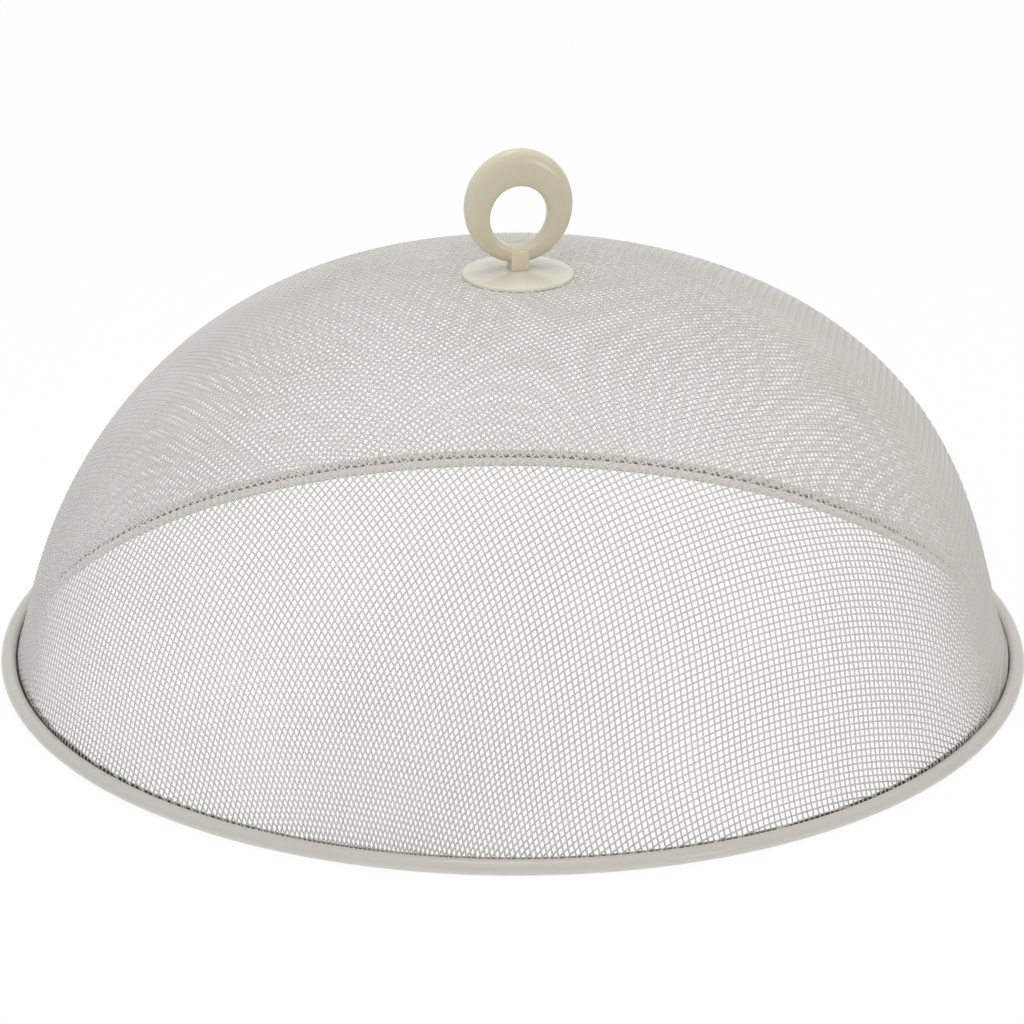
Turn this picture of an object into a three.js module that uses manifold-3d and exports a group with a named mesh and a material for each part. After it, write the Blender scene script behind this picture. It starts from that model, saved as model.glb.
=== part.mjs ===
// A woven wire food cover: a dome of steel wire cloth, tucked into a rolled rim and lifted by a plastic ring.
// Millimetres, +Z up, the origin in the middle of the rim's flat underside.
import * as THREE from 'three';
import { mergeVertices } from 'three/addons/utils/BufferGeometryUtils.js';
import Module from 'manifold-3d';

const wasm = await Module();
wasm.setup();

// Space left between pieces that touch
const clearance = 0.3;

// Rim: one painted steel strip, rolled into a hollow bead outside and folded up into a low wall inside
const rimRadius = 175;
const beadDiameter = 4.9;
const wallHeight = 3.6;
const stripThickness = 0.8;
const rimSegments = 72;
const beadOuterSteps = 8;
const beadInnerSteps = 4;
const wallEdgeSteps = 2;

// Wire cloth: square cloth, drawn over the dome so that its cells shear but its wires keep their spacing
const domeHeight = 134.7;
const knobPress = 3.15;
const pressRadius = 38;
const wireDiameter = 0.9;
const wireCount = 24;
const wireSides = 5;
const skirtLean = THREE.MathUtils.degToRad(27);
const skirtReachShare = 0.125;
const crownReachShare = 0.929;
const profileSteps = 80;
const weaveTurn = THREE.MathUtils.degToRad(18);

// Flange: the round foot of the knob, on top of the cloth
const flangeRadius = 18.5;
const flangeEdge = 1.15;
const flangeCrown = 2.3;
const flangeSegments = 40;
const flangeCurveSteps = 3;

// Knob ring: an upright oval ring with its finger hole set low, and a square stem through its lower side
const ringHalfWidth = 18.3;
const ringHalfHeight = 19.3;
const ringThickness = 6.5;
const holeHalfWidth = 9.85;
const holeHalfHeight = 10.4;
const holeDrop = 3.5;
const ringLift = 2;
const outerRoundShare = 0.9;
const innerRoundShare = 0.4;
const ringSteps = 40;
const ringSectionSteps = 14;
const stemWidth = 5.8;
const stemDepth = 6.9;
const stemCorner = 0.8;

// Screw and washer that hold the knob from inside the dome
const screwRadius = 1.75;
const screwHeadRadius = 3.9;
const screwHeadHeight = 2.4;
const screwBite = 4.5;
const screwSegments = 24;
const washerRadius = 13;
const washerThickness = 1.2;
const washerSegments = 36;

const paintedWire = { color: 0xd0cdc4, roughness: 0.55, metalness: 0.1 };
const paintedRim = { color: 0xcac7be, roughness: 0.4, metalness: 0.05 };
const ivoryPlastic = { color: 0xcfc7b0, roughness: 0.25, metalness: 0 };
const zincSteel = { color: 0xb9bbbd, roughness: 0.35, metalness: 0.9 };

// Sizes that follow from the ones above
const weaveRise = (wireDiameter + clearance) / 2;
const clothHalf = weaveRise + wireDiameter / 2;
const slotHalf = clothHalf + clearance;
const clothRadius = rimRadius - beadDiameter - slotHalf;
const wallOuterRadius = clothRadius - slotHalf;
const wallInnerRadius = wallOuterRadius - stripThickness;
const wireFootHeight = stripThickness + clearance;
const crownHeight = domeHeight - knobPress;

function mesh(name, geometry, finish) {
  const piece = new THREE.Mesh(geometry, new THREE.MeshStandardMaterial(finish));
  piece.name = name;
  return piece;
}

// A profile of (radius, height) points, turned about the Z axis
function revolve(points, segments) {
  const geometry = new THREE.LatheGeometry(points, segments);
  geometry.rotateX(Math.PI / 2);
  return geometry;
}

// Rings of points joined into a skin: closed round on itself, or capped at its two ends
function loft(rings, closed) {
  const sides = rings[0].length;
  const positions = rings.flat().flatMap((point) => point.toArray());
  const indices = [];
  const bands = closed ? rings.length : rings.length - 1;
  for (let band = 0; band < bands; band += 1) {
    const here = band * sides;
    const next = ((band + 1) % rings.length) * sides;
    for (let side = 0; side < sides; side += 1) {
      const turn = (side + 1) % sides;
      indices.push(here + side, here + turn, next + turn);
      indices.push(here + side, next + turn, next + side);
    }
  }
  if (!closed) {
    const last = (rings.length - 1) * sides;
    for (let side = 1; side < sides - 1; side += 1) {
      indices.push(0, side + 1, side);
      indices.push(last, last + side, last + side + 1);
    }
  }
  const geometry = new THREE.BufferGeometry();
  geometry.setAttribute('position', new THREE.Float32BufferAttribute(positions, 3));
  geometry.setIndex(indices);
  return geometry;
}

function toSolid(geometry) {
  const bare = geometry.clone();
  bare.deleteAttribute('normal');
  bare.deleteAttribute('uv');
  const merged = mergeVertices(bare);
  const vertProperties = new Float32Array(merged.attributes.position.array);
  const triVerts = new Uint32Array(merged.index.array);
  return new wasm.Manifold(new wasm.Mesh({ numProp: 3, vertProperties, triVerts }));
}

function fromSolid(solid) {
  const { vertProperties, triVerts } = solid.getMesh();
  const geometry = new THREE.BufferGeometry();
  geometry.setAttribute('position', new THREE.Float32BufferAttribute(vertProperties, 3));
  geometry.setIndex(Array.from(triVerts));
  return geometry;
}

// Dome profile: one curve from crown to leaning skirt, pressed in under the knob
const skirtFoot = new THREE.Vector2(clothRadius, wallHeight);
const skirtReach = clothRadius * skirtReachShare;
const skirtUp = new THREE.Vector2(-Math.sin(skirtLean), Math.cos(skirtLean)).multiplyScalar(skirtReach);
const drawnCurve = new THREE.CubicBezierCurve(
  new THREE.Vector2(0, domeHeight),
  new THREE.Vector2(clothRadius * crownReachShare, domeHeight),
  skirtFoot.clone().add(skirtUp),
  skirtFoot,
);
const pressedPoints = drawnCurve.getPoints(profileSteps).map((point) => {
  const press = knobPress * Math.exp(-((point.x / pressRadius) ** 2));
  return point.setY(point.y - press);
});
const domeCurve = new THREE.SplineCurve(pressedPoints);
const clothReach = domeCurve.getLength();

// Measured along the cloth; past its foot the profile runs straight on, so that wires can be cut at the rim
function profileAt(distance) {
  const share = Math.min(distance / clothReach, 1);
  const point = domeCurve.getPointAt(share);
  const along = domeCurve.getTangentAt(share);
  const past = Math.max(distance - clothReach, 0);
  return { point: point.addScaledVector(along, past), normal: new THREE.Vector2(-along.y, along.x) };
}

// A place on the cloth, from its distance and direction from the crown, raised off the cloth's middle
function clothPoint(flat, rise) {
  const { point, normal } = profileAt(flat.length());
  const radius = point.x + rise * normal.x;
  const angle = flat.angle();
  return new THREE.Vector3(radius * Math.cos(angle), radius * Math.sin(angle), point.y + rise * normal.y);
}

// The fourth corner of a cell: on the dome, and one cell side away from each of the two corners beside it
function fourthCorner(behind, first, second, side) {
  const probe = side / 1000;
  const firstPoint = clothPoint(first, 0);
  const secondPoint = clothPoint(second, 0);
  const misses = (flat) => {
    const place = clothPoint(flat, 0);
    return [place.distanceTo(firstPoint) - side, place.distanceTo(secondPoint) - side];
  };
  const corner = first.clone().add(second).sub(behind);
  for (let round = 0; round < 8; round += 1) {
    const [missA, missB] = misses(corner);
    const [alongA, alongB] = misses(new THREE.Vector2(corner.x + probe, corner.y));
    const [acrossA, acrossB] = misses(new THREE.Vector2(corner.x, corner.y + probe));
    const a = (alongA - missA) / probe;
    const b = (acrossA - missA) / probe;
    const c = (alongB - missB) / probe;
    const d = (acrossB - missB) / probe;
    const determinant = a * d - b * c;
    corner.x -= (d * missA - b * missB) / determinant;
    corner.y -= (a * missB - c * missA) / determinant;
  }
  return corner;
}

// One quarter of the draped cloth in half cells, as places laid flat; wires run where the count is odd
function drapeQuarter(halfCell) {
  const lines = wireCount + 1;
  const quarter = [];
  for (let column = 0; column <= lines; column += 1) {
    quarter.push([]);
    for (let row = 0; row <= lines; row += 1) {
      if (column === 0 || row === 0) {
        quarter[column].push(new THREE.Vector2(column * halfCell, row * halfCell));
        continue;
      }
      const behind = quarter[column - 1][row - 1];
      const first = quarter[column - 1][row];
      const second = quarter[column][row - 1];
      const inside = behind && first && second && behind.length() < clothReach;
      quarter[column].push(inside ? fourthCorner(behind, first, second, halfCell) : null);
    }
  }
  return quarter;
}

// Up and down of the weave: 1 or -1 where two wires cross, nought halfway, straight between
function weaveWave(line, row) {
  const phase = (((row - line) % 4) + 4) % 4;
  return phase <= 2 ? 1 - phase : phase - 3;
}

// One half of a wire, from its first crossing to its foot in the slot
function wireHalf(quarter, line, over, place) {
  const column = Math.abs(line);
  const lays = [];
  let row = 1;
  while (quarter[column][row + 1] && quarter[column][row].length() < clothReach) {
    if (row % 2 === 1) {
      lays.push({ flat: quarter[column][row], rise: over * weaveRise * weaveWave(line, place(row)) });
    }
    row += 1;
  }
  if (quarter[column][row].length() < clothReach) {
    row += 1;
  }
  const inner = quarter[column][row - 1];
  const outer = quarter[column][row];
  const share = (clothReach - inner.length()) / (outer.length() - inner.length());
  const mouth = inner.clone().lerp(outer, share).setLength(clothReach);
  lays.push({ flat: mouth, rise: over * weaveRise * weaveWave(line, place(row - 1 + share)), atRim: true });
  return lays;
}

function wireRing(centre, along, outward) {
  const side = new THREE.Vector3().crossVectors(along, outward).normalize();
  const up = new THREE.Vector3().crossVectors(side, along).normalize();
  const ring = [];
  for (let step = 0; step < wireSides; step += 1) {
    const angle = (2 * Math.PI * (step + 0.5)) / wireSides;
    const point = centre.clone();
    point.addScaledVector(up, (Math.cos(angle) * wireDiameter) / 2);
    point.addScaledVector(side, (Math.sin(angle) * wireDiameter) / 2);
    ring.push(point);
  }
  return ring;
}

// Places along a wire, from foot to foot, with the way out of the dome at each
function wirePath(lays) {
  const stops = lays.map(({ flat, rise, atRim }) => {
    const angle = flat.angle();
    const level = new THREE.Vector3(Math.cos(angle), Math.sin(angle), 0);
    if (atRim) {
      const mouth = level.clone().multiplyScalar(clothRadius + rise).setZ(wallHeight);
      return { centre: mouth, outward: level };
    }
    const centre = clothPoint(flat, rise);
    return { centre, outward: centre.clone().sub(clothPoint(flat, rise - wireDiameter)).normalize() };
  });
  const foot = ({ centre, outward }) => ({ centre: centre.clone().setZ(wireFootHeight), outward });
  return [foot(stops[0]), ...stops, foot(stops[stops.length - 1])];
}

function wireSolid(lays) {
  const path = wirePath(lays);
  const rings = path.map(({ centre, outward }, index) => {
    const before = path[Math.max(index - 1, 0)].centre;
    const after = path[Math.min(index + 1, path.length - 1)].centre;
    return wireRing(centre, after.clone().sub(before).normalize(), outward);
  });
  return loft(rings, false);
}

// The quarter, mirrored into the place of one wire; the second set of wires is the first set turned over
function buildWires(family, quarter, over, place) {
  const wires = [];
  for (let wire = 0; wire < wireCount; wire += 1) {
    const line = 2 * wire - wireCount + 1;
    const forward = wireHalf(quarter, line, over, (row) => row);
    const backward = wireHalf(quarter, line, over, (row) => -row);
    const ahead = forward.map((lay) => ({ ...lay, flat: place(lay.flat, Math.sign(line), 1) }));
    const behind = backward.map((lay) => ({ ...lay, flat: place(lay.flat, Math.sign(line), -1) }));
    const name = `${family}_wire_${String(wire + 1).padStart(2, '0')}`;
    wires.push(mesh(name, wireSolid([...behind.reverse(), ...ahead]), paintedWire));
  }
  return wires;
}

function buildCloth() {
  const quarter = drapeQuarter(clothReach / wireCount);
  const warpPlace = (flat, across, along) => new THREE.Vector2(across * flat.x, along * flat.y);
  const weftPlace = (flat, across, along) => new THREE.Vector2(along * flat.y, across * flat.x);
  const cloth = new THREE.Group();
  cloth.rotation.z = weaveTurn;
  cloth.add(...buildWires('warp', quarter, 1, warpPlace));
  cloth.add(...buildWires('weft', quarter, -1, weftPlace));
  return cloth;
}

function arc(centre, radius, from, to, steps) {
  const points = [];
  for (let step = 0; step <= steps; step += 1) {
    const angle = THREE.MathUtils.lerp(from, to, step / steps);
    points.push(new THREE.Vector2(Math.cos(angle), Math.sin(angle)).multiplyScalar(radius).add(centre));
  }
  return points;
}

// The strip's section: wall and underside, round the bead to its lip, back inside the bead, and up the wall
function buildRim() {
  const beadRadius = beadDiameter / 2;
  const edge = stripThickness / 2;
  const down = -Math.PI / 2;
  const beadCentre = new THREE.Vector2(rimRadius - beadRadius, beadRadius);
  const wallFoot = new THREE.Vector2(wallInnerRadius + edge, edge);
  const wallTop = new THREE.Vector2(wallInnerRadius + edge, wallHeight - edge);
  const section = [
    ...arc(wallFoot, edge, -Math.PI, down, wallEdgeSteps),
    ...arc(beadCentre, beadRadius, down, Math.PI, beadOuterSteps),
    ...arc(beadCentre, beadRadius - stripThickness, Math.PI, down, beadInnerSteps),
    new THREE.Vector2(wallOuterRadius, stripThickness),
    ...arc(wallTop, edge, 0, Math.PI, 2 * wallEdgeSteps),
  ];
  section.push(section[0].clone());
  return mesh('rim_band', revolve(section, rimSegments), paintedRim);
}

// Undersides and tops that lie along the cloth near the crown
function alongCrown(fromRadius, toRadius, rise, steps) {
  const points = [];
  for (let step = 0; step <= steps; step += 1) {
    const { point, normal } = profileAt(THREE.MathUtils.lerp(fromRadius, toRadius, step / steps));
    points.push(point.addScaledVector(normal, rise));
  }
  return points;
}

const flangeTop = crownHeight + slotHalf + flangeCrown;
const stemFoot = flangeTop + clearance;
const ringCentre = stemFoot + ringLift + ringHalfHeight;
const holeCentre = ringCentre - holeDrop;
const screwHoleRadius = screwRadius + clearance;

function buildFlange() {
  const underside = alongCrown(screwHoleRadius, flangeRadius - flangeEdge / 2, slotHalf, 3);
  const rimUnder = underside[underside.length - 1];
  const edge = new THREE.Path();
  edge.moveTo(rimUnder.x, rimUnder.y);
  edge.quadraticCurveTo(flangeRadius, rimUnder.y, flangeRadius, rimUnder.y + flangeEdge / 2);
  edge.quadraticCurveTo(flangeRadius, rimUnder.y + flangeEdge, rimUnder.x, rimUnder.y + flangeEdge);
  edge.quadraticCurveTo(flangeRadius / 2, flangeTop, screwHoleRadius, flangeTop);
  const profile = [...underside.slice(0, -1), ...edge.getPoints(flangeCurveSteps), underside[0].clone()];
  return mesh('knob_flange', revolve(profile, flangeSegments), ivoryPlastic);
}

// Half-width of the ring's section at its outside and inside, square where the share is small
function rounded(value, share) {
  return Math.sign(value) * Math.abs(value) ** share;
}

function buildRingBody() {
  const rings = [];
  for (let step = 0; step < ringSteps; step += 1) {
    const angle = (2 * Math.PI * step) / ringSteps;
    const outer = new THREE.Vector3(ringHalfWidth * Math.cos(angle), 0, ringHalfHeight * Math.sin(angle));
    const inner = new THREE.Vector3(holeHalfWidth * Math.cos(angle), 0, holeHalfHeight * Math.sin(angle));
    inner.z -= holeDrop;
    const ring = [];
    for (let turn = 0; turn < ringSectionSteps; turn += 1) {
      const around = (2 * Math.PI * turn) / ringSectionSteps;
      const share = Math.cos(around) > 0 ? outerRoundShare : innerRoundShare;
      const across = (1 + rounded(Math.cos(around), share)) / 2;
      const point = inner.clone().lerp(outer, across);
      point.y = (rounded(Math.sin(around), share) * ringThickness) / 2;
      point.z += ringCentre;
      ring.push(point);
    }
    rings.push(ring);
  }
  return toSolid(loft(rings, true));
}

function roundedRectangle(width, depth, corner) {
  const shape = new THREE.Shape();
  const x = width / 2;
  const y = depth / 2;
  shape.moveTo(x - corner, -y);
  shape.absarc(x - corner, -y + corner, corner, -Math.PI / 2, 0, false);
  shape.absarc(x - corner, y - corner, corner, 0, Math.PI / 2, false);
  shape.absarc(-x + corner, y - corner, corner, Math.PI / 2, Math.PI, false);
  shape.absarc(-x + corner, -y + corner, corner, Math.PI, (3 * Math.PI) / 2, false);
  return shape;
}

// Ring and stem are one moulding, with a blind hole for the screw up the stem
function buildKnobRing() {
  const stemTop = holeCentre - holeHalfHeight + clearance;
  const stemShape = roundedRectangle(stemWidth, stemDepth, stemCorner);
  const stemRise = { depth: stemTop - stemFoot, bevelEnabled: false, curveSegments: 3 };
  const stem = new THREE.ExtrudeGeometry(stemShape, stemRise);
  stem.translate(0, 0, stemFoot);
  const boreDepth = screwBite + clearance;
  const bore = new THREE.CylinderGeometry(screwHoleRadius, screwHoleRadius, 2 * boreDepth, screwSegments);
  bore.rotateX(Math.PI / 2);
  bore.translate(0, 0, stemFoot);
  const solid = buildRingBody().add(toSolid(stem)).subtract(toSolid(bore));
  return mesh('knob_ring', fromSolid(solid), ivoryPlastic);
}

function buildWasher() {
  const top = alongCrown(screwHoleRadius, washerRadius, -slotHalf, 2);
  const bottom = alongCrown(screwHoleRadius, washerRadius, -slotHalf - washerThickness, 2);
  const profile = [...bottom, ...top.reverse(), bottom[0].clone()];
  return mesh('backing_washer', revolve(profile, washerSegments), zincSteel);
}

function buildScrew() {
  const seat = crownHeight - slotHalf - washerThickness - clearance;
  const tip = stemFoot + screwBite;
  const profile = new THREE.Path();
  profile.moveTo(0, seat - screwHeadHeight);
  profile.quadraticCurveTo(screwHeadRadius, seat - screwHeadHeight, screwHeadRadius, seat);
  profile.lineTo(screwRadius, seat);
  profile.lineTo(screwRadius, tip - screwRadius);
  profile.lineTo(0, tip);
  return mesh('knob_screw', revolve(profile.getPoints(5), screwSegments), zincSteel);
}

const foodCover = new THREE.Group();
foodCover.add(buildRim(), buildCloth(), buildFlange(), buildKnobRing(), buildWasher(), buildScrew());

export default foodCover;
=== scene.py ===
import math
import bpy
import numpy as np
from mathutils import Matrix, Vector


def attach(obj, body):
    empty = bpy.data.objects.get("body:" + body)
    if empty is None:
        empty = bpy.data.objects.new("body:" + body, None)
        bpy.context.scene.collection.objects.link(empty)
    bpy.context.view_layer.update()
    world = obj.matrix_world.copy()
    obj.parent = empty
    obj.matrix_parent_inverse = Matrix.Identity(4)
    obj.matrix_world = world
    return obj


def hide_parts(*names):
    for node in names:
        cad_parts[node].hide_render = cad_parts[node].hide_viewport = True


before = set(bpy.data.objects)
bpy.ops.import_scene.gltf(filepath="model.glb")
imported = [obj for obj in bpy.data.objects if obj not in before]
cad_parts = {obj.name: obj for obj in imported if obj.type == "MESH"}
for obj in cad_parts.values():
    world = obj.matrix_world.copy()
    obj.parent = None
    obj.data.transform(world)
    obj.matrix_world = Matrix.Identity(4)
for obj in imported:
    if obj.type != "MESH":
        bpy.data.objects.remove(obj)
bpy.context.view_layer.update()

mm = 0.001

# Camera: the photograph's view, from a rim 350 mm across that fills its width
camera = {
    "azimuth": -13.5,        # degrees, from the knob ring's face round to the lens
    "elevation": 21.86,
    "distance": 1200 * mm,
    "aimHeight": 48.07 * mm,
    "aimSide": -0.42 * mm,   # the aim point, to the right of the rim's axis
    "lens": 123.95,
    "roll": 0.186,           # degrees, the right side of the picture lower
    "nearest": 0.05,
    "farthest": 20,
}


def makeCamera():
    # the lens sits on a sphere round the aim point, and then turns about its own line of sight
    azimuth = math.radians(camera["azimuth"])
    elevation = math.radians(camera["elevation"])
    right = np.array([math.cos(azimuth), math.sin(azimuth), 0])
    back = Vector((
        math.sin(azimuth) * math.cos(elevation),
        -math.cos(azimuth) * math.cos(elevation),
        math.sin(elevation),
    ))
    aim = Vector(right * camera["aimSide"]) + Vector((0, 0, camera["aimHeight"]))
    data = bpy.data.cameras.new("photoCamera")
    data.lens = camera["lens"]
    data.clip_start = camera["nearest"]
    data.clip_end = camera["farthest"]
    lens = bpy.data.objects.new("photoCamera", data)
    bpy.context.scene.collection.objects.link(lens)
    turn = (-back).to_track_quat("-Z", "Y").to_matrix().to_4x4()
    roll = Matrix.Rotation(math.radians(camera["roll"]), 4, "Z")
    lens.matrix_world = Matrix.Translation(aim + back * camera["distance"]) @ turn @ roll
    bpy.context.scene.camera = lens
    return right


viewRight = makeCamera()


# Meshes: every piece is a grid of points with its own map, and its volume tells which way its faces look

# on a map, shares of the height that the strips of quads and their end caps take up
bandMargin = 0.04
skinShare = 0.9
capStart = 0.92


def makeMesh(name, points, faces, places, materials, wears=None):
    # points (n, 3) in metres; faces (m, 4) corners; places (m, 4, 2) on the map; wears (m) material numbers
    first, second, third, fourth = (points[faces[:, corner]] for corner in range(4))
    volume = (np.cross(first, second) * third).sum() + (np.cross(first, third) * fourth).sum()
    if volume < 0:
        faces, places = faces[:, ::-1], places[:, ::-1]
    mesh = bpy.data.meshes.new(name)
    mesh.vertices.add(len(points))
    mesh.vertices.foreach_set("co", np.asarray(points, np.float32).ravel())
    mesh.loops.add(faces.size)
    mesh.loops.foreach_set("vertex_index", np.asarray(faces, np.int32).ravel())
    mesh.polygons.add(len(faces))
    mesh.polygons.foreach_set("loop_start", np.arange(len(faces), dtype=np.int32) * 4)
    mesh.polygons.foreach_set("use_smooth", np.full(len(faces), True))
    for material in materials:
        mesh.materials.append(material)
    if wears is not None:
        mesh.polygons.foreach_set("material_index", np.asarray(wears, np.int32))
    mesh.update(calc_edges=True)
    layer = mesh.uv_layers.new(name="OFBake")
    layer.uv.foreach_set("vector", np.asarray(places, np.float32).ravel())
    return mesh


def makePiece(mesh, nodes, crease=40):
    # crease: the angle in degrees past which an edge is shaded sharp
    mesh.set_sharp_from_angle(angle=math.radians(crease))
    piece = bpy.data.objects.new(mesh.name, mesh)
    bpy.context.scene.collection.objects.link(piece)
    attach(piece, "root")
    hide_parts(*nodes)
    print("piece:", mesh.name, len(mesh.loops) - 2 * len(mesh.polygons), "triangles")


def gridFaces(rows, columns, wrapRows, wrapColumns):
    # quads of a grid of rows by columns of points, closed round where it wraps
    row = np.arange(rows if wrapRows else rows - 1)[:, None]
    column = np.arange(columns if wrapColumns else columns - 1)[None, :]
    nextRow, nextColumn = (row + 1) % rows, (column + 1) % columns
    corners = [row * columns + column, row * columns + nextColumn,
               nextRow * columns + nextColumn, nextRow * columns + column]
    return np.stack([np.broadcast_to(c, (len(row), column.size)) for c in corners], -1).reshape(-1, 4)


def quadPlaces(left, right, bottom, top):
    # the four corners of upright rectangles on the map
    return np.stack([left, bottom, left, top, right, top, right, bottom], -1).reshape(-1, 4, 2)


def gridPlaces(rows, columns, bands, low=0.0, high=1.0):
    # a map for such quads: rows run along it in equal bands, one above another between low and high
    perBand = math.ceil(rows / bands)
    row, column = np.divmod(np.arange(rows * columns), columns)
    band, step = np.divmod(row, perBand)
    fill = 1 - 2 * bandMargin
    bottom, top = (
        low + (high - low) * (band + bandMargin + fill * (column + side) / columns) / bands
        for side in (0, 1)
    )
    return quadPlaces(step / perBand, (step + 1) / perBand, bottom, top)


def capFaces(start, sides):
    # quads across a ring of an even number of points, from one side to the other
    step = np.arange(sides // 2 - 1)
    return start + np.stack([step, step + 1, sides - 2 - step, sides - 1 - step], -1)


def tube(rings, low=0.0, high=1.0):
    # an (n, sides, 3) stack of rings joined into a skin, with both ends closed
    rows, sides = rings.shape[:2]
    skin = gridFaces(rows, sides, False, True)
    caps = np.concatenate([capFaces(0, sides)[:, ::-1], capFaces((rows - 1) * sides, sides)])
    places = gridPlaces(rows - 1, sides, 1, low, low + skinShare * (high - low))
    capPlaces = gridPlaces(len(caps), 1, 1, low + capStart * (high - low), high)
    return rings.reshape(-1, 3), np.concatenate([skin, caps]), np.concatenate([places, capPlaces])


def revolve(profile, segments, bands=1):
    # each profile point (radius, height) goes once round the Z axis
    angle = np.linspace(0, 2 * np.pi, segments, endpoint=False)[:, None]
    radius, height = profile[None, :, 0], profile[None, :, 1]
    ring = np.stack([radius * np.cos(angle), radius * np.sin(angle), height + 0 * angle], -1)
    faces = gridFaces(segments, len(profile), True, True)
    return ring.reshape(-1, 3), faces, gridPlaces(segments, len(profile), bands)


def bezier(corners, steps):
    # a curve of any degree through its first and last corner, without its last point
    t = np.linspace(0, 1, steps, endpoint=False)[:, None]
    points = [np.asarray(corner, float) for corner in corners]
    while len(points) > 1:
        points = [a + (b - a) * t for a, b in zip(points, points[1:])]
    return points[0]


def joined(name, base, tool, operation):
    # an exact union or difference of two closed meshes, applied
    holder = bpy.data.objects.new("holder", base)
    other = bpy.data.objects.new("other", tool)
    for made in (holder, other):
        bpy.context.scene.collection.objects.link(made)
    step = holder.modifiers.new("join", "BOOLEAN")
    step.operation = operation
    step.solver = "EXACT"
    step.object = other
    graph = bpy.context.evaluated_depsgraph_get()
    result = bpy.data.meshes.new_from_object(holder.evaluated_get(graph))
    result.name = name
    for made in (holder, other):
        bpy.data.objects.remove(made)
    return result


# Materials

def fromSrgb(red, green, blue):
    # a colour as read off a picture, 0 to 255, made linear
    shares = np.array([red, green, blue]) / 255
    curved = ((shares + 0.055) / 1.055) ** 2.4
    return tuple(float(c) for c in np.where(shares <= 0.04045, shares / 12.92, curved))


# two tones; roughness from and to; patches and grains to a metre; depth of the grain
finishes = {
    "wirePaint": {
        "light": fromSrgb(201, 198, 194), "deep": fromSrgb(195, 192, 187), "gloss": (0.34, 0.46),
        "patches": 30, "grains": 1100, "grainDepth": 0.02 * mm,
    },
    "rimPaint": {
        "light": fromSrgb(188, 184, 177), "deep": fromSrgb(183, 179, 171), "gloss": (0.12, 0.18),
        "patches": 16, "grains": 480, "grainDepth": 0.02 * mm,
    },
    # the rim's own paint, made lighter for the inner wall's face and crest: painted light, for the glow
    # thrown up inside the dome
    "litWallPaint": {
        "light": fromSrgb(200, 196, 189), "deep": fromSrgb(195, 191, 184), "gloss": (0.2, 0.28),
        "patches": 16, "grains": 480, "grainDepth": 0.02 * mm,
    },
    # the same cream paint, made dark inside the bead's hollow and on the wall's side in the slot: painted
    # shade of the deep slot
    "rimHollowShade": {
        "light": fromSrgb(106, 103, 97), "deep": fromSrgb(88, 85, 80), "gloss": (0.5, 0.7),
        "patches": 60, "grains": 700, "grainDepth": 0.03 * mm,
    },
    "ivory": {
        "light": fromSrgb(204, 196, 174), "deep": fromSrgb(200, 191, 168), "gloss": (0.1, 0.16),
        "patches": 24, "grains": 240, "grainDepth": 0.008 * mm, "milky": True,
    },
    # the stem, and then the flange: the same plastic as the ring, in lighter tones; on the stem this is
    # painted light, on the flange painted light and a painted reflection of the white surroundings
    "litStemIvory": {
        "light": fromSrgb(218, 209, 183), "deep": fromSrgb(214, 204, 177), "gloss": (0.1, 0.16),
        "patches": 24, "grains": 240, "grainDepth": 0.008 * mm, "milky": True,
    },
    "litFlangeIvory": {
        "light": fromSrgb(204, 200, 186), "deep": fromSrgb(200, 196, 181), "gloss": (0.03, 0.06),
        "patches": 24, "grains": 240, "grainDepth": 0.008 * mm, "milky": True,
    },
    "zinc": {
        "light": fromSrgb(198, 200, 202), "deep": fromSrgb(168, 170, 173), "gloss": (0.25, 0.42),
        "patches": 180, "grains": 900, "grainDepth": 0.01 * mm, "metallic": 1.0,
    },
}
milkyPlastic = {"share": 0.5, "depth": 4 * mm, "reach": (1, 0.97, 0.9)}   # reach of red, green and blue light
noiseSpan = (0.3, 0.7)       # a noise lies mostly between these


def addNode(tree, kind, **settings):
    # each setting goes to the input of that name, or else to the node's own property
    node = tree.nodes.new(kind)
    for key, value in settings.items():
        if key in node.inputs:
            node.inputs[key].default_value = value
        else:
            setattr(node, key, value)
    return node


def addNoise(tree, place, scale, detail=2.0):
    # soft noise over the piece's own coordinates
    noise = addNode(tree, "ShaderNodeTexNoise", Scale=scale, Detail=detail)
    tree.links.new(place, noise.inputs["Vector"])
    return noise.outputs["Fac"]


def addRange(tree, source, low, high):
    # a noise stretched to run from low to high
    node = addNode(tree, "ShaderNodeMapRange")
    for socket, value in zip(("From Min", "From Max", "To Min", "To Max"), (*noiseSpan, low, high)):
        node.inputs[socket].default_value = value
    tree.links.new(source, node.inputs["Value"])
    return node.outputs["Result"]


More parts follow.
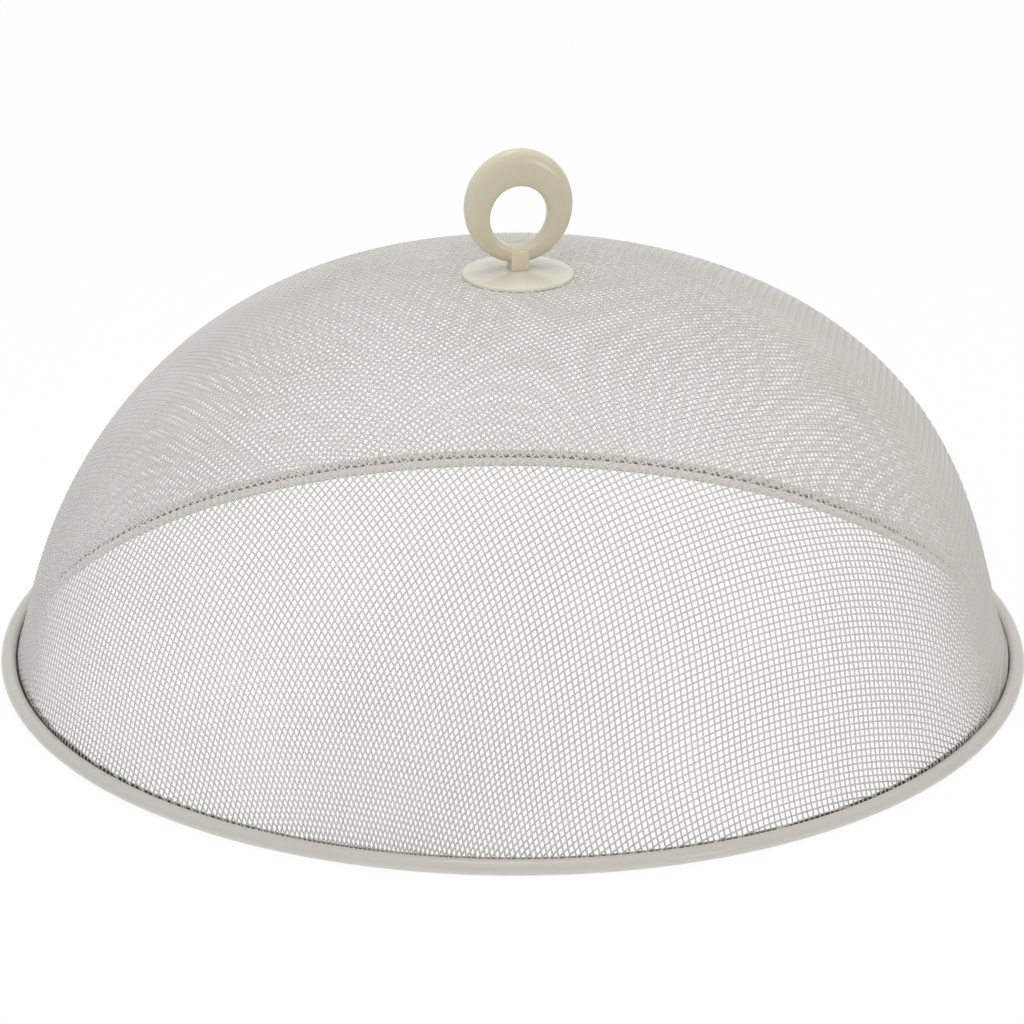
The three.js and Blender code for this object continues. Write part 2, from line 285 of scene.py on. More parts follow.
def makeFinish(name):
    # two close tones in soft patches, a gloss that wanders with a fine grain, and that grain as bump
    finish = finishes[name]
    material = bpy.data.materials.new(name)
    material.use_nodes = True
    tree = material.node_tree
    shader = tree.nodes["Principled BSDF"]
    shader.inputs["Metallic"].default_value = finish.get("metallic", 0.0)
    place = tree.nodes.new("ShaderNodeTexCoord").outputs["Object"]
    patches = addNoise(tree, place, finish["patches"])
    grain = addNoise(tree, place, finish["grains"])
    colour = addNode(tree, "ShaderNodeMix", data_type="RGBA")
    deep, light = [socket for socket in colour.inputs if socket.type == "RGBA"]
    deep.default_value = (*finish["deep"], 1)
    light.default_value = (*finish["light"], 1)
    mixed = [socket for socket in colour.outputs if socket.type == "RGBA"][0]
    tree.links.new(addRange(tree, patches, 0.0, 1.0), colour.inputs["Factor"])
    tree.links.new(mixed, shader.inputs["Base Color"])
    tree.links.new(addRange(tree, grain, *finish["gloss"]), shader.inputs["Roughness"])
    bump = addNode(tree, "ShaderNodeBump", Distance=finish["grainDepth"])
    tree.links.new(grain, bump.inputs["Height"])
    tree.links.new(bump.outputs["Normal"], shader.inputs["Normal"])
    if finish.get("milky"):
        shader.inputs["Subsurface Weight"].default_value = milkyPlastic["share"]
        shader.inputs["Subsurface Scale"].default_value = milkyPlastic["depth"]
        shader.inputs["Subsurface Radius"].default_value = milkyPlastic["reach"]
    return material


paints = {name: makeFinish(name) for name in finishes}
print("materials made:", len(paints))


# Dome: the middle of the cloth

dome = {
    "height": 134.8 * mm,        # of the crown, had the knob not pressed it
    "crownHandle": 156.8 * mm,   # how far out the level line at the crown pulls the curve
    "mouthRadius": 169.25 * mm,  # where the cloth goes into the rim
    "mouthHeight": 3.6 * mm,
    "skirtLean": math.radians(27),
    "skirtHandle": 21.1 * mm,    # how far up the leaning line at the mouth pulls it
    "knobPress": 2.5 * mm,       # how far the knob pulls the crown down
    "pressRadius": 38 * mm,
    "past": 40 * mm,             # how far the profile goes straight on below the mouth
    "steps": 4000,
    "leanHeight": 127.4 * mm,
    "lean": (0.12 * mm, -6.25 * mm, 33.76 * mm, -26.33 * mm),    # terms of the cubic, from the level one up
}


def domeProfile():
    # one cubic curve from crown to mouth, less a bell-shaped press, then straight on past the mouth;
    # returned as distance along it against radius and height, with the distance at the mouth
    mouth = np.array([dome["mouthRadius"], dome["mouthHeight"]])
    into = np.array([math.sin(dome["skirtLean"]), -math.cos(dome["skirtLean"])])
    crown = [(0, dome["height"]), (dome["crownHandle"], dome["height"])]
    corners = [*crown, mouth - dome["skirtHandle"] * into, mouth]
    curve = np.concatenate([bezier(corners, dome["steps"]), mouth[None]])
    curve[:, 1] -= dome["knobPress"] * np.exp(-((curve[:, 0] / dome["pressRadius"]) ** 2))
    along = np.concatenate([[0], np.cumsum(np.hypot(*np.diff(curve, axis=0).T))])
    past = np.linspace(1 * mm, dome["past"], 40)     # a point to each millimetre
    longer = np.concatenate([curve, mouth + past[:, None] * into])
    return np.append(along, along[-1] + past), longer, along[-1]


domeAlong, domeCurve, clothReach = domeProfile()
domeSlope = np.gradient(domeCurve, domeAlong, axis=0)
crownMiddle = domeCurve[0, 1]


def leanOf(height):
    # the dome was drawn a little to one side: a cubic in the share of its height, next to nothing at the rim
    share = np.clip((height - dome["mouthHeight"]) / dome["leanHeight"], 0, 1)
    level, first, second, third = dome["lean"]
    return (level + first * share + second * share ** 2 + third * share ** 3)[..., None] * viewRight


knobShift = leanOf(np.array(crownMiddle))


def onDome(flat, lift=0.0):
    # flat: places laid out from the crown, distance and direction kept; lift: along the dome's outward normal
    distance = np.hypot(flat[..., 0], flat[..., 1])
    radius, height = (np.interp(distance, domeAlong, domeCurve[:, axis]) for axis in (0, 1))
    slopeR, slopeZ = (np.interp(distance, domeAlong, domeSlope[:, axis]) for axis in (0, 1))
    out = flat / np.maximum(distance, 1e-9)[..., None]
    normal = np.stack([-slopeZ * out[..., 0], -slopeZ * out[..., 1], slopeR], -1)
    place = np.stack([radius * out[..., 0], radius * out[..., 1], height], -1)
    return place + normal * np.asarray(lift)[..., None], normal


# Wire cloth: plain weave, drawn over the dome

cloth = {
    "warpPitch": 1.945 * mm,
    "weftPitch": 2.14 * mm,
    "radius": 0.283 * mm,
    "warpWave": 0.19 * mm,    # the weft lies nearly straight, and the warp goes over and under it;
    "weftWave": 0.05 * mm,    # together less than a wire's thickness, as paint joins them where they cross
    "sides": 6,
    "turn": math.radians(19.5),        # about the dome's axis, from the knob ring's face
    "middle": (8.3 * mm, 26.4 * mm),   # of the cloth, which lay a little off the crown when it was drawn
    "uneven": 0.025,          # how far a wire strays from its even place, as a share of the pitch
    "drift": 0.16 * mm,       # of whole patches of cloth, from the drawing: each wave gives a third of it
    "driftWaves": 6,
    "driftLength": 45 * mm,
    "screwGap": 2.6 * mm,     # how far the wires are pushed apart round the screw
    "screwReach": 20 * mm,
    "mouthGap": 0.3 * mm,     # the last crossing is at least so far from the rim
    "footHeight": 1.0 * mm,
    "solverSteps": 5,
    "pieces": 4,              # each way
    "seed": 11,
}


def drapeQuarter(lines, sides):
    # Chebyshev net: each new corner lies on the dome, one side away from the corner before it on either wire.
    # Two distances and two unknowns, solved by Newton's rule for a whole diagonal of corners at a time.
    flat = np.full((lines[0] + 1, lines[1] + 1, 2), np.nan)
    flat[:, 0] = np.arange(lines[0] + 1)[:, None] * (sides[0], 0)
    flat[0, :] = np.arange(lines[1] + 1)[:, None] * (0, sides[1])
    probe = min(sides) / 1000
    limit = clothReach + math.hypot(*cloth["middle"]) + max(sides)
    for diagonal in range(2, sum(lines) + 1):
        a = np.arange(max(1, diagonal - lines[1]), min(lines[0], diagonal - 1) + 1)
        b = diagonal - a
        behind = flat[a - 1, b - 1]
        near = np.nan_to_num(np.hypot(behind[:, 0], behind[:, 1]), nan=1.0) < limit
        near &= np.isfinite(flat[a - 1, b]).all(1) & np.isfinite(flat[a, b - 1]).all(1)
        if not near.any():
            continue
        a, b = a[near], b[near]
        first, second = flat[a - 1, b], flat[a, b - 1]
        anchors = np.stack([onDome(first)[0], onDome(second)[0]], 1)

        def misses(corner):
            # how much too far each corner is from the two corners before it
            return np.linalg.norm(onDome(corner)[0][:, None] - anchors, axis=2) - sides

        corner = first + second - behind[near]
        for step in range(cloth["solverSteps"]):
            here = misses(corner)
            alongX = (misses(corner + (probe, 0)) - here) / probe
            alongY = (misses(corner + (0, probe)) - here) / probe
            det = alongX[:, 0] * alongY[:, 1] - alongY[:, 0] * alongX[:, 1]
            moveX = (alongY[:, 1] * here[:, 0] - alongY[:, 0] * here[:, 1]) / det
            moveY = (alongX[:, 0] * here[:, 1] - alongX[:, 1] * here[:, 0]) / det
            corner = corner - np.stack([moveX, moveY], -1)
        flat[a, b] = corner
    return flat


def crossings():
    # the quarter mirrored to the whole cloth, at the odd half cells where wires cross, and a little uneven
    pitches = np.array([cloth["warpPitch"], cloth["weftPitch"]])
    counts = 2 * np.round((clothReach + math.hypot(*cloth["middle"])) / pitches).astype(int)
    quarter = drapeQuarter(counts + 3, pitches / 2)
    across, along = np.meshgrid(*(np.arange(-count - 1, count + 2, 2) for count in counts), indexing="ij")
    flat = quarter[np.abs(across), np.abs(along)]
    flat = flat * np.stack([np.sign(across), np.sign(along)], -1)
    chance = np.random.default_rng(cloth["seed"])
    warpStray, weftStray = (chance.normal(0, cloth["uneven"] / 2, count) for count in across.shape)
    flat = flat + (
        warpStray[:, None, None] * np.gradient(flat, axis=0)
        + weftStray[None, :, None] * np.gradient(flat, axis=1)
    )
    for wave in range(cloth["driftWaves"]):
        heading, phase, way = chance.uniform(0, 2 * np.pi, 3)
        swing = 2 * np.pi / cloth["driftLength"] * (flat @ (math.cos(heading), math.sin(heading))) + phase
        flat = flat + cloth["drift"] / 3 * np.sin(swing)[..., None] * (math.cos(way), math.sin(way))
    turn = cloth["turn"]
    turned = flat @ np.array([[math.cos(turn), math.sin(turn)], [-math.sin(turn), math.cos(turn)]])
    return turned + cloth["middle"]


def endPlaces(flat, wave, inner, outer):
    # where a wire reaches the slot's mouth, and straight below it the foot
    a, b = flat[inner], flat[outer]
    if not np.isfinite(b).all():
        b = a + (a - flat[2 * inner - outer])
    reachA, reachB = np.hypot(*a), np.hypot(*b)
    share = min((clothReach - reachA) / max(reachB - reachA, 1e-6), 2.0)
    mouth = a + (b - a) * share
    level = np.array([*(mouth / np.hypot(*mouth)), 0])
    rise = wave[inner] * (1 - 2 * min(share, 1.0))
    place = level * (dome["mouthRadius"] + rise) + (0, 0, dome["mouthHeight"])
    foot = np.array([place[0], place[1], cloth["footHeight"]])
    return np.array([[place, level], [foot, level]])


def wirePlaces(flat, wave, lines):
    # one wire per row of flat: its crossings inside the rim, with a mouth and a foot at either end
    rows = []
    distance = np.hypot(flat[..., 0], flat[..., 1])
    inside = np.nan_to_num(distance, nan=1.0) < clothReach - cloth["mouthGap"]
    for line in lines:
        kept = np.nonzero(inside[line])[0]
        if len(kept) < 3:
            continue     # too short to be held by the cloth
        low, high = kept[0], kept[-1]
        near = flat[line, low:high + 1]
        reach = np.hypot(near[:, 0], near[:, 1])
        bell = np.exp(-((reach / cloth["screwReach"]) ** 2))
        pushed = near * (np.sqrt(reach ** 2 + cloth["screwGap"] ** 2 * bell) / reach)[:, None]
        stops = np.stack(onDome(pushed, wave[line, low:high + 1]), 1)
        before = endPlaces(flat[line], wave[line], low, low - 1)[::-1]
        after = endPlaces(flat[line], wave[line], high, high + 1)
        rows.append(np.concatenate([before, stops, after]))
    places = np.concatenate(rows)
    places[:, 0] += leanOf(places[:, 0, 2])
    return places[:, 0], places[:, 1], np.repeat(np.arange(len(rows)), [len(row) for row in rows])


def wireTubes(centres, outward, wireOf):
    # a ring of points round each place on a wire, square to the wire; rings of one wire are joined.
    # On the map each wire is a strip: along it one way, round it the other, and its end caps lie above.
    same = wireOf[1:] == wireOf[:-1]
    place = np.arange(len(centres))
    along = centres[place + np.append(same, False)] - centres[place - np.insert(same, 0, False)]
    along /= np.linalg.norm(along, axis=1, keepdims=True)
    side = np.cross(along, outward)
    side /= np.linalg.norm(side, axis=1, keepdims=True)
    up = np.cross(side, along)
    sides = cloth["sides"]
    angle = 2 * np.pi * (np.arange(sides) + 0.5) / sides
    ring = np.cos(angle)[None, :, None] * up[:, None] + np.sin(angle)[None, :, None] * side[:, None]
    points = (centres[:, None] + cloth["radius"] * ring).reshape(-1, 3)
    here = np.nonzero(same)[0]
    starts = np.nonzero(np.insert(~same, 0, True))[0]
    ends = np.nonzero(np.append(~same, True))[0]
    first = here[:, None] * sides
    step = np.arange(sides)[None, :]
    turn = (step + 1) % sides
    skin = np.stack([first + step, first + turn, first + sides + turn, first + sides + step], -1)
    cap = capFaces(0, sides)[None]
    caps = np.concatenate([cap[..., ::-1] + starts[:, None, None] * sides, cap + ends[:, None, None] * sides])
    bands = len(starts)
    wire = wireOf[here]
    length = (ends - starts)[wire]
    stripLow, stripShare, capLow, capHigh, capWidth = 0.08, 0.8, 0.91, 0.99, 0.01
    left, right = (np.repeat((here + end - starts[wire]) / length, sides) for end in (0, 1))
    bottom, top = (
        ((wire[:, None] + stripLow + stripShare * (step + end) / sides) / bands).ravel()
        for end in (0, 1)
    )
    band = np.tile(np.repeat(np.arange(bands), sides // 2 - 1), 2)
    nook = np.arange(len(band)) % 97 * capWidth      # caps of neighbouring wires lie side by side
    places = np.concatenate([
        quadPlaces(left, right, bottom, top),
        quadPlaces(nook, nook + capWidth, (band + capLow) / bands, (band + capHigh) / bands),
    ])
    return points, np.concatenate([skin.reshape(-1, 4), caps.reshape(-1, 4)]), places


def buildCloth():
    # warp and weft share the crossings: where one is up the other is down, turn and turn about
    flat = crossings()
    checker = np.where(np.indices(flat.shape[:2]).sum(0) % 2, 1.0, -1.0)
    coarse = len([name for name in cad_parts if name.startswith("warp_wire")])
    families = {
        "warp": (flat, checker * cloth["warpWave"]),
        "weft": (flat.transpose(1, 0, 2), -checker.T * cloth["weftWave"]),
    }
    for family, (places, wave) in families.items():
        count, pieces = len(places), cloth["pieces"]
        for piece in range(pieces):
            lines, solids = (range(n * piece // pieces, n * (piece + 1) // pieces) for n in (count, coarse))
            skin = wireTubes(*wirePlaces(places, wave, lines))
            nodes = [f"{family}_wire_{wire + 1:02d}" for wire in solids]
            mesh = makeMesh(f"{family}_wires_{piece + 1}", *skin, [paints["wirePaint"]])
            makePiece(mesh, nodes, 180)


buildCloth()
clothTop = crownMiddle + cloth["warpWave"] + cloth["radius"]
clothUnder = crownMiddle - cloth["warpWave"] - cloth["radius"]


# Rim: one strip, rolled into a round bead outside and folded up into a thin wall inside the cloth

rim = {
    "radius": 175 * mm,
    "height": 4.9 * mm,
    "lipRadius": 169.9 * mm,     # the innermost line of the bead, where it faces the slot
    "wallRadius": 167.85 * mm,
    "wallHeight": 3.6 * mm,
    "strip": 0.42 * mm,          # thickness of the sheet
    "lipTurn": math.radians(200),    # where the roll ends, from its outermost line up and over
    "cornerRound": 0.3 * mm,
    "segments": 480,
}


def ovalArc(halfWidth, halfHeight, start, end, steps):
    # an ellipse round the bead's middle, from one angle to another
    angle = np.linspace(start, end, steps)
    radius = (rim["lipRadius"] + rim["radius"]) / 2 + halfWidth * np.cos(angle)
    height = rim["height"] / 2 + halfHeight * np.sin(angle)
    return np.stack([radius, height], -1)


def rimSection():
    # down the wall, under and round the bead to the lip, back through the hollow, and over the wall's crest;
    # with the number of the material that each point wears
    halfWidth, halfHeight = (rim["radius"] - rim["lipRadius"]) / 2, rim["height"] / 2
    wall, strip, corner, top = rim["wallRadius"], rim["strip"], rim["cornerRound"], rim["wallHeight"]
    inner = wall + strip
    face = np.concatenate([
        bezier([(wall + strip / 2, top), (wall, top), (wall, top - strip)], 6),
        bezier([(wall, top - strip), (wall, corner)], 5),
    ])
    outside = np.concatenate([
        bezier([(wall, corner), (wall, 0), (wall + corner, 0)], 6),
        bezier([(wall + corner, 0), ovalArc(halfWidth, halfHeight, -np.pi / 2, 0, 2)[0]], 5),
        ovalArc(halfWidth, halfHeight, -np.pi / 2, rim["lipTurn"], 44),
    ])
    hollow = np.concatenate([
        ovalArc(halfWidth - strip, halfHeight - strip, rim["lipTurn"], -np.pi / 2, 28),
        [(inner, strip)],
        bezier([(inner, strip + corner), (inner, top - strip)], 4),
    ])
    crest = bezier([(inner, top - strip), (inner, top), (wall + strip / 2, top)], 6)
    # the wall's face and crest wear the lighter paint, which is painted light; the hollow and the wall's side
    # in the slot wear the dark paint, which is painted shade
    wears = np.repeat([2, 0, 1, 2], [len(face), len(outside), len(hollow), len(crest)])
    return np.concatenate([face, outside, hollow, crest]), wears


section, sectionWears = rimSection()
skin = revolve(section, rim["segments"], 6)
wears = np.tile(sectionWears, rim["segments"])
coats = [paints["rimPaint"], paints["rimHollowShade"], paints["litWallPaint"]]
makePiece(makeMesh("rolled_rim", *skin, coats, wears), ["rim_band"])


# Knob flange: a domed disc with a blunt edge

flange = {
    "radius": 18.5 * mm,
    "edge": 1.15 * mm,           # height of the blunt edge over the cloth
    "top": 135.2 * mm,
    "shoulder": 0.45 * mm,       # rounding of the edges
    "domeShare": 0.62,           # how far out the level middle pulls the dome
    "boreRadius": 2.05 * mm,
    "segments": 256,
}


def flangeSection():
    # level underside, blunt edge, a low dome and the screw's bore
    radius, bore = flange["radius"], flange["boreRadius"]
    low, top = clothTop, flange["top"]
    turn, edge = flange["shoulder"], clothTop + flange["edge"]
    brow = (radius - 2 * turn, edge + turn / 4)
    return np.concatenate([
        bezier([(bore, low), (radius - turn, low)], 12),
        bezier([(radius - turn, low), (radius, low), (radius, low + turn)], 8),
        bezier([(radius, low + turn), (radius, edge - turn)], 3),
        bezier([(radius, edge - turn), (radius, edge), brow], 10),
        bezier([brow, (flange["domeShare"] * radius, top), (bore + turn, top)], 30),
        bezier([(bore + turn, top), (bore, top), (bore, top - turn)], 4),
        bezier([(bore, top - turn), (bore, low)], 3),
    ])


# the flange wears the lighter, whiter plastic: painted light and a painted reflection
points, faces, places = revolve(flangeSection(), flange["segments"], 4)
skin = makeMesh("domed_flange", points + knobShift, faces, places, [paints["litFlangeIvory"]])
makePiece(skin, ["knob_flange"])


# Knob ring: an upright oval ring whose finger hole is set low, and a square stem through its lower side

ring = {
    "halfWidth": 18.3 * mm,
    "halfHeight": 19.3 * mm,
    "thickness": 6.5 * mm,
    "holeHalfWidth": 9.85 * mm,
    "holeHalfHeight": 10.4 * mm,
    "holeDrop": 3.5 * mm,
    "centre": 156.78 * mm,
    "outerRound": 0.8,           # 1 is an ellipse, less is squarer
    "innerRound": 0.42,
    "steps": 200,
    "sectionSteps": 64,
    "bodyMap": (0, 0.78),        # heights on the map, from and to
    "stemMap": (0.8, 0.95),
    "boreMap": (0.96, 1.0),
    "stemWidth": 5.9 * mm,
    "stemDepth": 7.3 * mm,
    "stemCorner": 0.8 * mm,
    "stemTop": 0.9 * mm,         # below the floor of the finger hole
    "stemChamfer": 0.25 * mm,
    "stemTaper": 0.93,           # width of the stem's top after the chamfer, as a share
    "stemClear": 0.02 * mm,
    "boreDepth": 5 * mm,
    "stemSides": 40,
}


def ringBody():
    # two ellipses, the outline and the hole, joined by a section that is rounder outside than inside
    angle = np.linspace(0, 2 * np.pi, ring["steps"], endpoint=False)[:, None]
    turn = np.linspace(0, 2 * np.pi, ring["sectionSteps"], endpoint=False)[None, :]
    power = np.where(np.cos(turn) > 0, ring["outerRound"], ring["innerRound"])
    across = (1 + np.sign(np.cos(turn)) * np.abs(np.cos(turn)) ** power) / 2
    depth = np.sign(np.sin(turn)) * np.abs(np.sin(turn)) ** power * ring["thickness"] / 2
    x = np.cos(angle) * (ring["holeHalfWidth"] + across * (ring["halfWidth"] - ring["holeHalfWidth"]))
    z = np.sin(angle) * (ring["holeHalfHeight"] + across * (ring["halfHeight"] - ring["holeHalfHeight"]))
    z = z - (1 - across) * ring["holeDrop"] + ring["centre"]
    rows, columns = x.shape
    points = np.stack([x, np.broadcast_to(depth, x.shape), z], -1).reshape(-1, 3)
    return points, gridFaces(rows, columns, True, True), gridPlaces(rows, columns, 3, *ring["bodyMap"])


def stemBody():
    # a rounded square carried straight up, from the flange to just under the floor of the finger hole
    sides, corner = ring["stemSides"], ring["stemCorner"]
    turn = 2 * np.pi * (np.arange(sides) + 0.5) / sides
    x = np.sign(np.cos(turn)) * (ring["stemWidth"] / 2 - corner) + corner * np.cos(turn)
    y = np.sign(np.sin(turn)) * (ring["stemDepth"] / 2 - corner) + corner * np.sin(turn)
    top = ring["centre"] - ring["holeDrop"] - ring["holeHalfHeight"] - ring["stemTop"]
    foot = flange["top"] + ring["stemClear"]
    levels = ((foot, 1), (top - ring["stemChamfer"], 1), (top, ring["stemTaper"]))
    rings = np.stack([np.stack([x * share, y, np.full(sides, z)], -1) for z, share in levels])
    return tube(rings, *ring["stemMap"])


def boreBody():
    # the round hole that the screw bites into, from below the stem's foot
    sides = ring["stemSides"]
    turn = 2 * np.pi * np.arange(sides) / sides
    x, y = flange["boreRadius"] * np.cos(turn), flange["boreRadius"] * np.sin(turn)
    levels = (flange["top"] - ring["boreDepth"] / 4, flange["top"] + ring["boreDepth"])
    return tube(np.stack([np.stack([x, y, np.full(sides, z)], -1) for z in levels]), *ring["boreMap"])


# the stem wears the lighter plastic, which is painted light
plastics = [paints["ivory"], paints["litStemIvory"]]
body = makeMesh("ringBody", *ringBody(), plastics)
stemSkin = stemBody()
stem = makeMesh("stem", *stemSkin, plastics, np.ones(len(stemSkin[1])))
body = joined("body", body, stem, "UNION")
body = joined("ring_handle", body, makeMesh("bore", *boreBody(), plastics[:1]), "DIFFERENCE")
body.transform(Matrix.Translation(Vector(knobShift)))
makePiece(body, ["knob_ring"])


# Washer and screw that hold the knob from inside the dome

fastener = {
    "washerRadius": 13 * mm,
    "washerThickness": 0.9 * mm,
    "washerCup": 0.5 * mm,       # how much higher the washer's edge stands than its middle
    "washerSegments": 160,
    "boreRadius": 2.05 * mm,
    "clear": 0.02 * mm,
    "headRadius": 3.9 * mm,
    "headHeight": 2.3 * mm,
    "headSteps": 14,
    "coreRadius": 1.35 * mm,
    "threadRadius": 1.75 * mm,
    "threadPitch": 1.1 * mm,
    "threadSteps": 8,            # to one turn of the thread
    "bite": 4.5 * mm,            # how far the screw goes into the stem
    "recessWidth": 0.9 * mm,
    "recessReach": 4.2 * mm,
    "recessDepth": 1.5 * mm,
    "sides": 48,
}
washerFloor = clothUnder - fastener["clear"] - fastener["washerCup"] - fastener["washerThickness"]


def washerSection():
    # a disc with a cupped middle: level round the bore, then an S-shaped rise to a rounded edge
    bore, edge = fastener["boreRadius"], fastener["washerRadius"]
    thick, cup = fastener["washerThickness"], fastener["washerCup"]
    low, high, turn = washerFloor, washerFloor + cup, thick / 4
    rise = np.array([(bore, low), (0.7 * edge, low), (0.85 * edge, high), (edge - turn, high)])
    return np.concatenate([
        bezier(rise, 24),
        bezier([(edge - turn, high), (edge + turn, high + thick / 2), (edge - turn, high + thick)], 8),
        bezier(rise[::-1] + (0, thick), 24),
        bezier([(bore, low + thick), (bore, low)], 3),
    ])


points, faces, places = revolve(washerSection(), fastener["washerSegments"], 2)
skin = makeMesh("cup_washer", points + knobShift, faces, places, [paints["zinc"]])
makePiece(skin, ["backing_washer"])


def screwBody():
    # rings up the screw: a pan head, then a shank whose radius swings with height less turn, which is a helix
    turn = 2 * np.pi * np.arange(fastener["sides"])[None, :] / fastener["sides"]
    head, tall, pitch = fastener["headRadius"], fastener["headHeight"], fastener["threadPitch"]
    seat = washerFloor - fastener["clear"]
    bow = np.linspace(0.04, 1, fastener["headSteps"])[:, None] * np.pi / 2
    headRadius = head * np.sin(bow) ** 0.8
    headHeight = seat - tall + 0.75 * tall * (1 - np.cos(bow)) ** 1.4
    shankHeight = np.arange(seat, flange["top"] + fastener["bite"], pitch / fastener["threadSteps"])[:, None]
    swing = np.abs(((shankHeight / pitch - turn / (2 * np.pi)) % 1) * 2 - 1)
    core, thread = fastener["coreRadius"], fastener["threadRadius"]
    taper = np.clip((shankHeight[-1] - shankHeight) / thread, 0.3, 1)
    shankRadius = (core + (thread - core) * swing) * taper
    edge, under = np.full_like(turn, head), np.full_like(turn, 0.97 * head)      # of the head
    radius = np.concatenate([headRadius + 0 * turn, edge, under, shankRadius])
    height = np.concatenate([headHeight, [[seat - 0.06 * tall], [seat]], shankHeight]) + 0 * turn
    return tube(np.stack([radius * np.cos(turn), radius * np.sin(turn), height], -1))


def recessBar(width, reach):
    # one bar of the cross in the screw's head, narrower at its depth
    corners = np.array([(-reach, -width), (reach, -width), (reach, width), (-reach, width)]) / 2
    low = washerFloor - fastener["clear"] - fastener["headHeight"]
    levels = ((low - fastener["recessDepth"] / 3, 1.1), (low + fastener["recessDepth"], 0.7))
    return tube(np.stack([np.concatenate([corners * share, np.full((4, 1), z)], -1) for z, share in levels]))


body = makeMesh("screwBody", *screwBody(), [paints["zinc"]])
recess = (fastener["recessWidth"], fastener["recessReach"])
for size in (recess, recess[::-1]):
    body = joined("pan_screw", body, makeMesh("recess", *recessBar(*size), [paints["zinc"]]), "DIFFERENCE")
body.transform(Matrix.Translation(Vector(knobShift)))
makePiece(body, ["knob_screw"])


# Floor, light and background

studio = {
    "floorSize": 8.0,
    "floorColour": (0.9, 0.9, 0.9),
    "floorRoughness": 0.8,
    "seenWhite": 0.95,       # how much of the floor that the lens sees is plain white, and not lit paint
    "sky": 0.4,
    "lampAim": 0.1,          # height in metres of the place that the lamps face
    "shownLamps": ("keyPanel", "warmSide"),      # the two whose shapes show in paint and knob
    "glowHeight": 0.4 * mm,
}
# azimuth from the camera, positive to its right; elevation; distance; width; height; power in watts; colour
lamps = {
    "overhead": (150, 82, 1.7, 1.6, 1.6, 13.0, (1, 0.985, 0.955)),
    "keyPanel": (180, 88, 1.7, 0.5, 0.36, 3.2, (1, 0.99, 0.97)),
    "topFront": (0, 50, 1.8, 1.2, 0.8, 10.0, (0.99, 0.99, 1)),
    "coolSide": (-70, 30, 1.8, 1.2, 1.0, 5.0, (0.7, 0.88, 1)),
    "warmSide": (37, 5, 1.6, 0.4, 0.38, 1.5, (1, 0.96, 0.92)),
}
# the lit white table throws light up into the dome, and a little up under the rim; radius, power in watts
tableGlow = {
    "underDome": (165 * mm, 0.31),
    "underRim": (185 * mm, 0.16),
}


def whiteWhenSeen(tree, lit, seen, share, surface):
    # camera, glossy and transmission rays see mostly plain white; all other rays see the lit surface
    paths = addNode(tree, "ShaderNodeLightPath")
    first = addNode(tree, "ShaderNodeMath", operation="MAXIMUM")
    second = addNode(tree, "ShaderNodeMath", operation="MAXIMUM")
    part = addNode(tree, "ShaderNodeMath", operation="MULTIPLY")
    mix = addNode(tree, "ShaderNodeMixShader")
    part.inputs[1].default_value = share
    for source, target in (
        (paths.outputs["Is Camera Ray"], first.inputs[0]), (paths.outputs["Is Glossy Ray"], first.inputs[1]),
        (first.outputs[0], second.inputs[0]), (paths.outputs["Is Transmission Ray"], second.inputs[1]),
        (second.outputs[0], part.inputs[0]), (part.outputs[0], mix.inputs[0]),
        (lit, mix.inputs[1]), (seen, mix.inputs[2]), (mix.outputs[0], surface),
    ):
        tree.links.new(source, target)


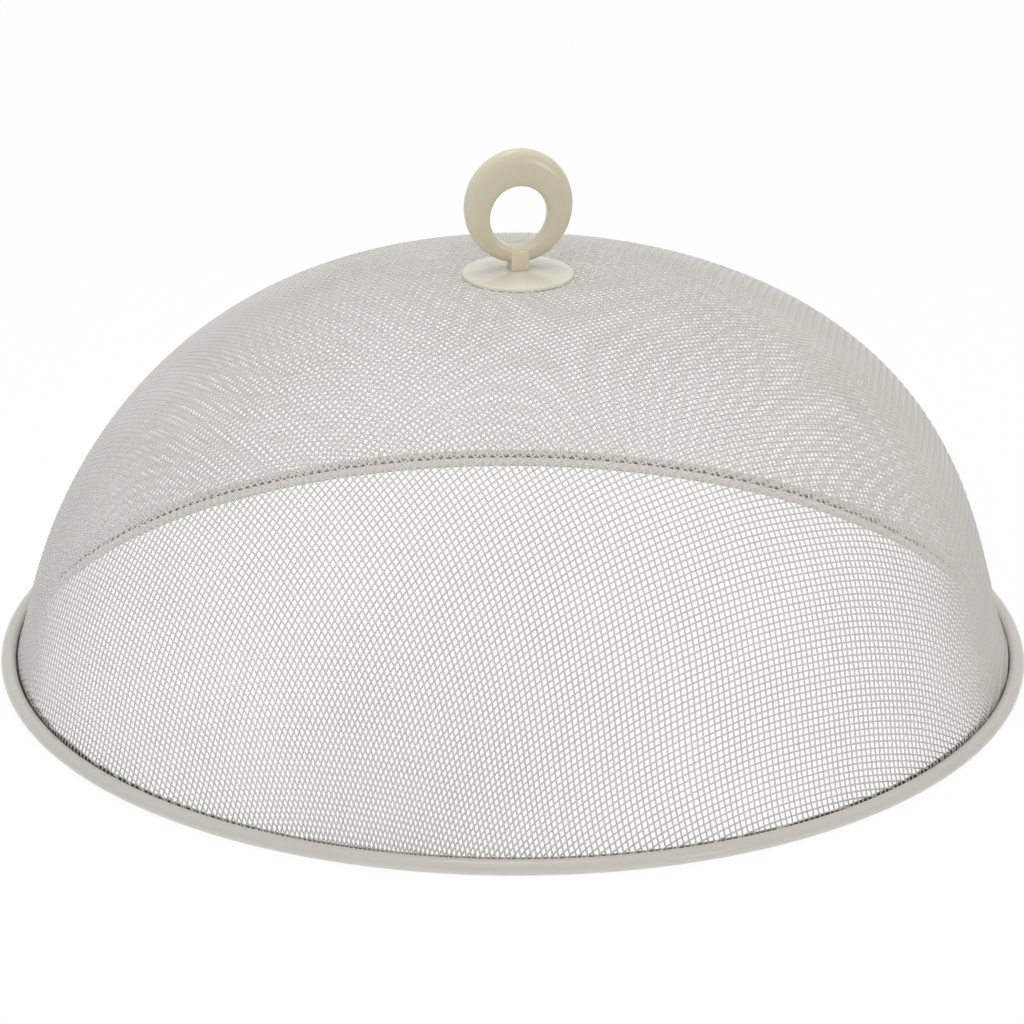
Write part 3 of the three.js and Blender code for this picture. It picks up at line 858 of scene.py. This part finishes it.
def makeFloor():
    # a pale painted table top that the lens sees as nearly white, with the cover's shadow on it
    half = studio["floorSize"] / 2
    mesh = bpy.data.meshes.new("paleFloor")
    corners = [(-half, -half, 0), (half, -half, 0), (half, half, 0), (-half, half, 0)]
    mesh.from_pydata(corners, [], [(0, 1, 2, 3)])
    floor = bpy.data.objects.new("paleFloor", mesh)
    bpy.context.scene.collection.objects.link(floor)
    material = bpy.data.materials.new("paleFloor")
    material.use_nodes = True
    tree = material.node_tree
    shader = tree.nodes["Principled BSDF"]
    shader.inputs["Base Color"].default_value = (*studio["floorColour"], 1)
    shader.inputs["Roughness"].default_value = studio["floorRoughness"]
    white = addNode(tree, "ShaderNodeEmission", Strength=1.0)
    surface = tree.nodes["Material Output"].inputs["Surface"]
    whiteWhenSeen(tree, shader.outputs[0], white.outputs[0], studio["seenWhite"], surface)
    mesh.materials.append(material)


def makeSky():
    # an even grey light from all round, and plain white where the lens sees it
    world = bpy.data.worlds.new("studioSky")
    world.use_nodes = True
    bpy.context.scene.world = world
    tree = world.node_tree
    sky = tree.nodes["Background"]
    sky.inputs["Color"].default_value = (1, 1, 1, 1)
    sky.inputs["Strength"].default_value = studio["sky"]
    seen = addNode(tree, "ShaderNodeBackground", Color=(1, 1, 1, 1), Strength=1.0)
    whiteWhenSeen(tree, sky.outputs[0], seen.outputs[0], 1.0, tree.nodes["World Output"].inputs["Surface"])


def makeLamp(name, azimuth, elevation, distance, width, height, power, colour):
    # a flat lamp that faces the middle of the dome
    turn, rise = math.radians(camera["azimuth"] + azimuth), math.radians(elevation)
    way = Vector((math.sin(turn) * math.cos(rise), -math.cos(turn) * math.cos(rise), math.sin(rise)))
    data = bpy.data.lights.new(name, "AREA")
    data.shape = "RECTANGLE"
    data.size, data.size_y = width, height
    data.energy = power
    data.color = colour
    lamp = bpy.data.objects.new(name, data)
    bpy.context.scene.collection.objects.link(lamp)
    aim = (-way).to_track_quat("-Z", "Y").to_matrix().to_4x4()
    lamp.matrix_world = Matrix.Translation(way * distance + Vector((0, 0, studio["lampAim"]))) @ aim
    lamp.visible_glossy = name in studio["shownLamps"]


def makeTableGlow(name, radius, power):
    # a round lamp just above the table that faces up, and that nothing sees or mirrors
    data = bpy.data.lights.new(name, "AREA")
    data.shape = "DISK"
    data.size = 2 * radius
    data.energy = power
    lamp = bpy.data.objects.new(name, data)
    bpy.context.scene.collection.objects.link(lamp)
    lamp.matrix_world = Matrix.Translation((0, 0, studio["glowHeight"])) @ Matrix.Rotation(math.pi, 4, "X")
    lamp.visible_camera = False
    lamp.visible_glossy = False


makeFloor()
makeSky()
for name, settings in lamps.items():
    makeLamp(name, *settings)
for name, settings in tableGlow.items():
    makeTableGlow(name, *settings)
bpy.context.scene.view_settings.view_transform = "Standard"
print("studio made:", len(lamps) + len(tableGlow), "lamps")
